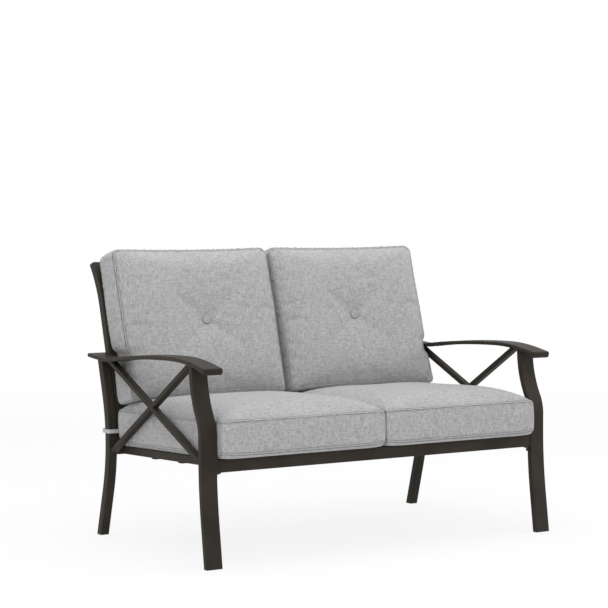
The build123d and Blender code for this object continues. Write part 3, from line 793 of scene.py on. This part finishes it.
seam = {
    # signed distance from the seam in mm, with the welt on the positive side, and the rise there
    "marks": (
        -5.2, -4.0, -3.0, -2.2, -1.5, -0.9, -0.4, 0.0, 0.4, 0.9, 1.6, 2.4, 3.4, 4.8, 5.7, 6.2, 6.6,
        7.0, 7.5, 8.4, 9.8, 11.4),
    "rises": (
        -1.1, 0.1, 0.5, 0.45, 0.0, -1.0, -2.2, -2.7, -2.2, -1.0, 0.4, 0.95, 1.05, 0.9, 0.55, -0.1, -0.7,
        -0.6, 0.1, 0.35, 0.2, -1.0),
    "rows": {"upper": (7, 9), "lower": (5, 14)},      # of the panels before the seam and from it on
    # the two lines where the cloth is drawn down and painted with the darker cloth as shade, and the one
    # where the stitches lie
    "shadedSeamRows": (4, 5, 6, 7, 8, 9, 14, 15, 16, 17, 18), "stitchMark": 16,
    "stitchGap": 4.6 * mm, "stitch": 3.3 * mm, "thick": 0.5 * mm, "stitchLift": 0.2 * mm,
    "stitchShape": ((0.18, 0.8), (0.5, 1.0), (0.82, 0.8)), "stitchWide": 1.1, "stitchCorners": 5,
    "grooveWide": 1.3 * mm,      # of the groove right at the edge
    # how far the cushion's own mesh lies below its welt: depth, and where that starts and stops fading
    "topRoom": (1.5 * mm, 6 * mm, 14 * mm), "topGroove": 1.8 * mm,
    "sideRooms": ((1.4 * mm, 3 * mm, 8 * mm), (1.3 * mm, 7 * mm, 14 * mm)), "sideGroove": 1.4 * mm,
    "bottomRoom": (1.2 * mm, 2 * mm, 6 * mm),
}


def roomBelow(gap, depth, near, far):
    return depth * (1 - eased(gap, near, far))


def groove(gap, depth):
    return depth * np.exp(-(gap / seam["grooveWide"]) ** 2)


def sinkSeams(panels, shape):
    # leaves room beneath the welts, whose own meshes carry the seams
    gap = seamGap(panels, shape)
    lower = roomBelow(gap, *seam["topRoom"]) + groove(gap, seam["topGroove"])
    top = panels["top"] - gridNormals(panels["top"]) * lower[..., None]
    side = panels["side"]
    run = np.linalg.norm(np.diff(side, axis=0), axis=2).mean(1)
    high = np.concatenate([[0], np.cumsum(run)])
    fromTop = high[-1] - high
    sink = sum(roomBelow(far, *room) for far, room in zip((fromTop, high), seam["sideRooms"]))
    sink += groove(np.minimum(high, fromTop), seam["sideGroove"])
    side = side - sideNormals(side) * sink[:, None, None]
    bottomSink = roomBelow(gap, *seam["bottomRoom"])
    bottom = panels["bottom"] + gridNormals(panels["bottom"]) * bottomSink[..., None]
    rim = (alongRim(top) + side[-1]) / 2
    hem = (alongRim(bottom) + side[0]) / 2
    rows, columns = (list(part) for part in zip(*rimOrder(top.shape[0])))
    top[rows, columns] = rim
    bottom[rows, columns] = hem
    side[-1], side[0] = rim, hem
    return {**panels, "top": top, "side": side, "bottom": bottom}


def inwardLines(grid, depth):
    # for each rim point, the panel's points from the seam inwards
    last = grid.shape[0] - 1
    lines = []
    for i, j in rimOrder(last + 1):
        stepI = 1 if i == 0 else -1 if i == last else 0
        stepJ = 1 if j == 0 else -1 if j == last else 0
        lines.append([grid[i + stepI * n, j + stepJ * n] for n in range(depth)])
    return np.array(lines)


def acrossSeam(panels, seamName):
    # lines across a seam, and the index of the seam in them
    side = np.moveaxis(panels["side"], 0, 1)
    before, after = seam["rows"][seamName]
    if seamName == "upper":
        inner = inwardLines(panels["top"], after)
        return np.concatenate([side[:, -before - 1:-1], inner], axis=1), before
    inner = inwardLines(panels["bottom"], before + 1)[:, :0:-1]
    return np.concatenate([inner, side[:, :after]], axis=1), before


def seamBand(panels, seamName):
    # rings along a seam at the marks, raised or sunk there, and their normals
    lines, zero = acrossSeam(panels, seamName)
    reach = np.linalg.norm(np.diff(lines, axis=1), axis=2)
    reach = np.concatenate([np.zeros((len(lines), 1)), np.cumsum(reach, axis=1)], axis=1)
    reach -= reach[:, zero:zero + 1]
    marks = np.array(seam["marks"]) * mm
    rings = np.array([
        [np.interp(marks, spots, line[:, axis]) for axis in range(3)]
        for line, spots in zip(lines, reach)])
    rings = np.moveaxis(rings, 2, 0)
    along = np.roll(rings, -1, 1) - np.roll(rings, 1, 1)
    across = np.gradient(rings, axis=0)
    normals = unit(np.cross(along, across))
    if (normals * (rings - lines.mean(axis=(0, 1)))).sum() < 0:
        normals = -normals
    for _ in range(2):
        normals = unit(normals + np.roll(normals, 1, 1) + np.roll(normals, -1, 1))
    rises = np.array(seam["rises"]) * mm
    return rings + normals * rises[:, None, None], normals


def makeStitches(path, normals, gap):
    # small lozenges of thread laid end to end along a closed path
    legs = np.linalg.norm(np.roll(path, -1, 0) - path, axis=1)
    total = legs.sum()
    marks = np.concatenate([[0], np.cumsum(legs)])
    count = int(total / gap)
    closedPath = np.concatenate([path, path[:1]])
    closedNormals = np.concatenate([normals, normals[:1]])
    corners, thick = seam["stitchCorners"], seam["thick"]
    points, faces = [], []

    def at(distance, values):
        return np.array([np.interp(distance % total, marks, values[:, axis]) for axis in range(3)])

    for number in range(count):
        middle = (number + 0.5) * total / count
        start = at(middle - seam["stitch"] / 2, closedPath)
        end = at(middle + seam["stitch"] / 2, closedPath)
        up = at(middle, closedNormals)
        along = (end - start) / np.linalg.norm(end - start)
        across = np.cross(along, up)
        first = len(points)
        points.append(start - up * thick)
        for share, size in seam["stitchShape"]:
            base = start * (1 - share) + end * share
            for corner in range(corners):
                angle = corner * math.pi * 2 / corners
                out = across * math.cos(angle) * seam["stitchWide"] + up * math.sin(angle)
                points.append(base + out * thick * size)
        points.append(end - up * thick)
        last = len(points) - 1
        for corner in range(corners):
            after = (corner + 1) % corners
            faces.append((first, first + 1 + after, first + 1 + corner))
            faces.append((last, last - corners + corner, last - corners + after))
        rings = ringFaces(len(seam["stitchShape"]), corners)
        faces += [tuple(first + 1 + index for index in face) for face in rings]
    return points, faces


def makeSoft(name, points, faces, owner, slotName="cushion_fabric", material=None, replaced=()):
    # a piece that rides with a cushion
    kind, sideName, shape, place = owner
    obj = keepPiece(name, points, faces, f"{kind}_{sideName}", slotName, material, place)
    if replaced:
        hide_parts(*replaced)
    joint = f"{kind}_{sideName}_{'pull' if kind == 'seat' else 'lift'}"
    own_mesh(obj)
    return obj


def split(points, faces, choose):
    # the chosen faces and the rest, each with only the points that they use
    parts = []
    for wanted in (True, False):
        kept = np.array([face for face in faces if choose(face) == wanted])
        used, order = np.unique(kept, return_inverse=True)
        parts.append((np.array(points)[used], order.reshape(kept.shape).tolist()))
    return parts


def sewSeams(panels, owner):
    # the welt, its two sunk lines painted with the darker cloth as shade, and its stitching, along the
    # upper seam and the lower seam
    kind, sideName = owner[:2]
    for seamName in ("upper", "lower"):
        rings, normals = seamBand(panels, seamName)
        around = rings.shape[1]
        faces = ringFaces(len(rings), around)
        label = seamName.capitalize()
        shadedSunk, raised = split(
            rings.reshape(-1, 3), faces, lambda face: face[0] // around in seam["shadedSeamRows"])
        makeSoft(f"{kind}{label}Welt_{sideName}", *raised, owner)
        # the sunk lines carry the darker cloth: painted shade in the grooves
        makeSoft(f"{kind}{label}Seam_{sideName}", *shadedSunk, owner, material=paintedShadeCloth)
        row = seam["stitchMark"]
        path = rings[row] + normals[row] * seam["stitchLift"]
        points, faces = makeStitches(path, normals[row], seam["stitchGap"])
        makeSoft(f"{kind}{label}Stitches_{sideName}", points, faces, owner, material=thread)


button = {
    # radius share and height, from the middle of the button over its edge
    "profile": (
        (0.0, 5.1), (0.3, 5.05), (0.6, 4.95), (0.8, 4.8), (0.85, 4.5), (0.95, 4.5), (0.985, 4.0),
        (1.0, 3.0), (1.0, 1.0), (0.985, 0.0), (0.9, -0.6), (0.0, -0.8)),
    "steps": 72, "gathers": 18, "gatherDepth": 0.22 * mm, "gatherStart": 0.6,
    # from this row on the tucked edge gets the darker cloth: painted shade round the button's rim
    "edgeRow": 3,      # the profile's row where the tucked edge starts
    # radius, height of the base and facing, in the back cushion's frame
    "front": (17 * mm, 121.2 * mm, 1), "rear": (13 * mm, 2.6 * mm, -1),
}


def makeButton(end, owner):
    # the cloth gathered over a button, and its edge tucked under and painted in shade with the darker cloth
    radius, base, facing = button[end]
    steps, start = button["steps"], button["gatherStart"]
    points = []
    for share, height in button["profile"]:
        for step in range(steps):
            angle = step * 2 * math.pi / steps * facing
            fold = math.cos(angle * button["gathers"]) * button["gatherDepth"]
            fold *= max(share - start, 0) / (1 - start)
            reach = share * (radius + fold)
            rise = base + facing * (height * mm + fold)
            points.append((reach * math.cos(angle), reach * math.sin(angle), rise))
    faces = flipped(ringFaces(len(button["profile"]), steps))
    shadedEdge, cover = split(points, faces, lambda face: min(face) // steps >= button["edgeRow"])
    sideName = owner[1]
    replaced = (f"{end}_button_{sideName}",)
    makeSoft(f"{end}Button_{sideName}", *cover, owner, "button_fabric", replaced=replaced)
    makeSoft(f"{end}ButtonEdge_{sideName}", *shadedEdge, owner, "button_fabric", paintedShadeCloth)


for number, (sideName, side) in enumerate(sideNames.items()):
    for kind, shape, place in (("seat", seat, seatPlace(side)), ("back", back, backPlace(side))):
        owner = (kind, sideName, shape, place)
        panels = makeCushion(shape, side, place, shape["seed"] + number)
        points, faces = panelMesh(sinkSeams(panels, shape))
        replaced = (f"{kind}_cushion_{sideName}",)
        obj = makeSoft(f"{kind}Cushion_{sideName}", points, faces, owner, replaced=replaced)
        sewSeams(panels, owner)
    makeButton("front", owner)
    makeButton("rear", owner)
    print("cushions sewn:", sideName)


strap = {
    "wide": 13.4 * mm, "thick": 1.9 * mm, "level": 354 * mm, "stitchInset": 2.0 * mm,
    "loopX": (586.6 * mm, 651.6 * mm), "loopY": (234.3 * mm, 281.6 * mm), "squareness": 14.0,
    "loopSteps": 120, "loopSeed": 3.0,
    "tabX": (543 * mm, 589 * mm), "tabY": 231.9 * mm, "tabThick": 2.3 * mm, "tabSteps": 24, "tabSeed": 8.0,
    "corners": 20, "edgePowers": (0.35, 0.6),      # of the section, across it and through it
    "hemWide": 0.5 * mm, "hemShare": 0.28, "sag": 0.9 * mm, "sagStep": 0.07,
}


def signedPower(value, power):
    return math.copysign(abs(value) ** power, value)


def ribbon(path, outward, thick, closed, seed):
    # a flat strap on edge: its rounded section is laid along a level path
    wide = strap["wide"]
    section = []
    for corner in range(strap["corners"]):
        angle = corner * 2 * math.pi / strap["corners"]
        up = signedPower(math.sin(angle), strap["edgePowers"][0]) * wide / 2
        out = signedPower(math.cos(angle), strap["edgePowers"][1]) * thick / 2
        inset = abs(up) - wide / 2 + strap["stitchInset"]
        hem = math.exp(-(inset / strap["hemWide"]) ** 2) * strap["hemShare"] * thick
        section.append((up, out - math.copysign(hem, out) if abs(out) > thick / 4 else out))
    rings = []
    for index, (spot, side) in enumerate(zip(path, outward)):
        sag = noise.noise(Vector((index * strap["sagStep"], seed, 1.7))) * strap["sag"]
        rings.append([spot + side * out + np.array((0, 0, up + sag)) for up, out in section])
    count, around = len(rings), len(section)
    faces = ringFaces(count, around, closed)
    if not closed:
        faces.append(tuple(reversed(range(around))))
        faces.append(tuple(range((count - 1) * around, count * around)))
    return np.array(rings).reshape(-1, 3), faces


def makeLoop(sideName, side):
    # the strap tied round the rear leg and the stile
    (nearX, farX), (nearY, farY) = strap["loopX"], strap["loopY"]
    power = 2 / strap["squareness"]
    path = []
    for step in range(strap["loopSteps"]):
        angle = step * 2 * math.pi / strap["loopSteps"]
        x = (farX + nearX) / 2 + signedPower(math.cos(angle), power) * (farX - nearX) / 2
        y = (farY + nearY) / 2 + signedPower(math.sin(angle), power) * (farY - nearY) / 2
        path.append((side * x, y, strap["level"]))
    path = np.array(path)
    along = unit(np.roll(path, -1, 0) - np.roll(path, 1, 0))
    outward = np.stack([along[:, 1], -along[:, 0], np.zeros(len(path))], -1) * side
    points, faces = ribbon(path, outward, strap["thick"], True, strap["loopSeed"])
    faces = flipped(faces) if side < 0 else faces
    obj = keepPiece(f"tieLoop_{sideName}", points, faces, "frame", "strap_fabric")
    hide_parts(f"tie_loop_{sideName}")


def makeTab(sideName, side):
    # the strap's end on the seat cushion
    steps = strap["tabSteps"]
    path = [np.array((side * x, strap["tabY"], strap["level"])) for x in np.linspace(*strap["tabX"], steps)]
    outward = [np.array((0, 1, 0))] * steps
    points, faces = ribbon(path, outward, strap["tabThick"], False, strap["tabSeed"])
    faces = flipped(faces) if side > 0 else faces
    obj = keepPiece(f"tieTab_{sideName}", points, faces, f"seat_{sideName}", "strap_fabric")
    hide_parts(f"tie_tab_{sideName}")
    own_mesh(obj)


for sideName, side in sideNames.items():
    makeLoop(sideName, side)
    makeTab(sideName, side)
print("straps tied")


weld = {
    "radius": 1.5 * mm, "step": 1.3 * mm, "ripple": 0.16, "rippleLength": 3.4 * mm, "corners": 8,
    "near": 0.45 * mm,                          # how close the pieces lie where they are welded
    "leastPoints": 8, "leastWide": 6 * mm,      # of a joint that gets a bead
    # the pieces that each piece's end is welded to
    "joints": {
        "long_brace_{}": ("front_leg_{}", "armrest_{}", "rear_leg_{}"),
        "short_brace_{}": ("front_leg_{}", "armrest_{}", "rear_leg_{}"),
        "front_leg_{}": ("armrest_{}",), "rear_leg_{}": ("armrest_{}",),
        "side_rail_{}": ("back_stile_{}",), "rail_bracket_{}": ("front_leg_{}",),
        "front_rail": ("front_leg_{}",), "rear_rail": ("back_stile_{}",),
        "lower_back_rail": ("back_stile_{}",), "upper_back_rail": ("back_stile_{}",)},
}


def hullOf(flat):
    # outer loop of points in a plane
    order = sorted(range(len(flat)), key=lambda index: tuple(flat[index]))
    loop = []
    for run in (order, order[::-1]):
        part = []
        for index in run:
            while len(part) > 1:
                first, second = flat[part[-2]], flat[part[-1]]
                turn = (second[0] - first[0]) * (flat[index][1] - first[1])
                turn -= (second[1] - first[1]) * (flat[index][0] - first[0])
                if turn > 1e-12:
                    break
                part.pop()
            part.append(index)
        loop += part[:-1]
    return loop


def beadAlong(loop, normal):
    # a thin rippled bead along a closed path
    closed = np.concatenate([loop, loop[:1]])
    marks = np.concatenate([[0], np.cumsum(np.linalg.norm(np.diff(closed, axis=0), axis=1))])
    count = int(marks[-1] / weld["step"])
    spots = np.arange(count) * marks[-1] / count
    path = np.stack([np.interp(spots, marks, closed[:, axis]) for axis in range(3)], -1)
    path = (np.roll(path, 1, 0) + 2 * path + np.roll(path, -1, 0)) / 4
    along = unit(np.roll(path, -1, 0) - np.roll(path, 1, 0))
    out = unit(np.cross(along, normal))
    ripples = round(marks[-1] / weld["rippleLength"]) * 2 * math.pi / marks[-1]
    corners = weld["corners"]
    rings = []
    for corner in range(corners):
        angle = corner * 2 * math.pi / corners
        radius = weld["radius"] * (1 + weld["ripple"] * np.sin(spots * ripples + 0.8 * math.cos(angle)))
        rings.append(path + (out * math.cos(angle) + normal * math.sin(angle)) * radius[:, None])
    return np.stack(rings, 1).reshape(-1, 3), ringFaces(count, corners, True)


def makeWeld(pieceName, ontoName):
    # a bead round the part of a piece's end that meets another piece
    piece, onto = frame["nodes"][pieceName], frame["nodes"][ontoName]
    toOnto = onto.matrix_world.inverted() @ piece.matrix_world
    near = []
    for vertex in piece.data.vertices:
        spot = toOnto @ vertex.co
        found = onto.closest_point_on_mesh(spot, distance=weld["near"])
        if found[0]:
            near.append(piece.matrix_world @ vertex.co)
    if len(near) < weld["leastPoints"]:
        return 0
    near = np.array(near)
    centre = near.mean(0)
    axes = np.linalg.svd(near - centre)[2]
    flat = (near - centre) @ axes[:2].T
    loop = near[hullOf(flat)]
    if len(loop) < 4 or np.ptp(flat, axis=0).min() < weld["leastWide"]:
        return 0
    points, faces = beadAlong(loop, axes[2])
    keepPiece(f"weld_{pieceName}_on_{ontoName}", points, faces, "frame", "frame_paint")
    return 1


welds = 0
for sideName in sideNames:
    for pieceName, others in weld["joints"].items():
        welds += sum(makeWeld(pieceName.format(sideName), other.format(sideName)) for other in others)
print("weld beads:", welds)


white = (1, 1, 1, 1)
studio = {
    "floor": (0.86, 0.86, 0.86, 1.0), "floorHalf": 30.0, "sky": 0.705,
    "fadeNear": 2.5, "fadeFar": 6.0,      # how far out the floor's shadows fade into the background
    "paleShare": 0.85,                    # of the background's white in the floor up to there
    "lamps": (
        # name, place, aim, size, power
        ("overhead", (-0.3, 0.2, 3.6), (0, 0, 0.4), 3.2, 60.0),
        ("front", (-2.0, -4.4, 2.4), (0, 0, 0.5), 2.6, 35.0),
        ("right", (4.2, -1.8, 2.4), (0, 0, 0.5), 3.4, 60.0),
        ("left", (-4.4, -0.8, 1.0), (0, 0, 0.5), 2.6, 20.0),
    ),
}


def makeFloor():
    f = Finish("paleFloor")
    lit = f.add("ShaderNodeBsdfDiffuse", None, {"Color": studio["floor"]})
    plain = f.add("ShaderNodeEmission", None, {"Color": white, "Strength": 1.0})
    reach = f.add("ShaderNodeVectorMath", {"operation": "LENGTH"}, {0: f.place()}, "Value")
    far = reach.between(studio["fadeNear"], studio["fadeFar"])
    share = f.background() * (studio["paleShare"] + far * (1 - studio["paleShare"]))
    mesh = bpy.data.meshes.new("floor")
    half = studio["floorHalf"]
    corners = [(-half, -half, 0), (half, -half, 0), (half, half, 0), (-half, half, 0)]
    mesh.from_pydata(corners, [], [(0, 1, 2, 3)])
    mesh.materials.append(f.close(f.add("ShaderNodeMixShader", None, {0: share, 1: lit, 2: plain})))
    obj = bpy.data.objects.new("floor", mesh)
    bpy.context.scene.collection.objects.link(obj)


def makeLight():
    f = Finish("studio", bpy.data.worlds)
    soft = f.add("ShaderNodeBackground", None, {"Color": white, "Strength": studio["sky"]})
    plain = f.add("ShaderNodeBackground", None, {"Color": white})
    mix = f.add("ShaderNodeMixShader", None, {0: f.background(), 1: soft, 2: plain})
    bpy.context.scene.world = f.close(mix, "ShaderNodeOutputWorld")
    for name, place, aim, size, power in studio["lamps"]:
        data = bpy.data.lights.new(name, "AREA")
        data.shape = "DISK"
        data.size = size
        data.energy = power
        lamp = bpy.data.objects.new(name, data)
        lamp.location = place
        lamp.rotation_euler = (Vector(aim) - Vector(place)).to_track_quat("-Z", "Y").to_euler()
        bpy.context.scene.collection.objects.link(lamp)


makeFloor()
makeLight()
bpy.context.scene.view_settings.view_transform = "Standard"
print("studio lit")
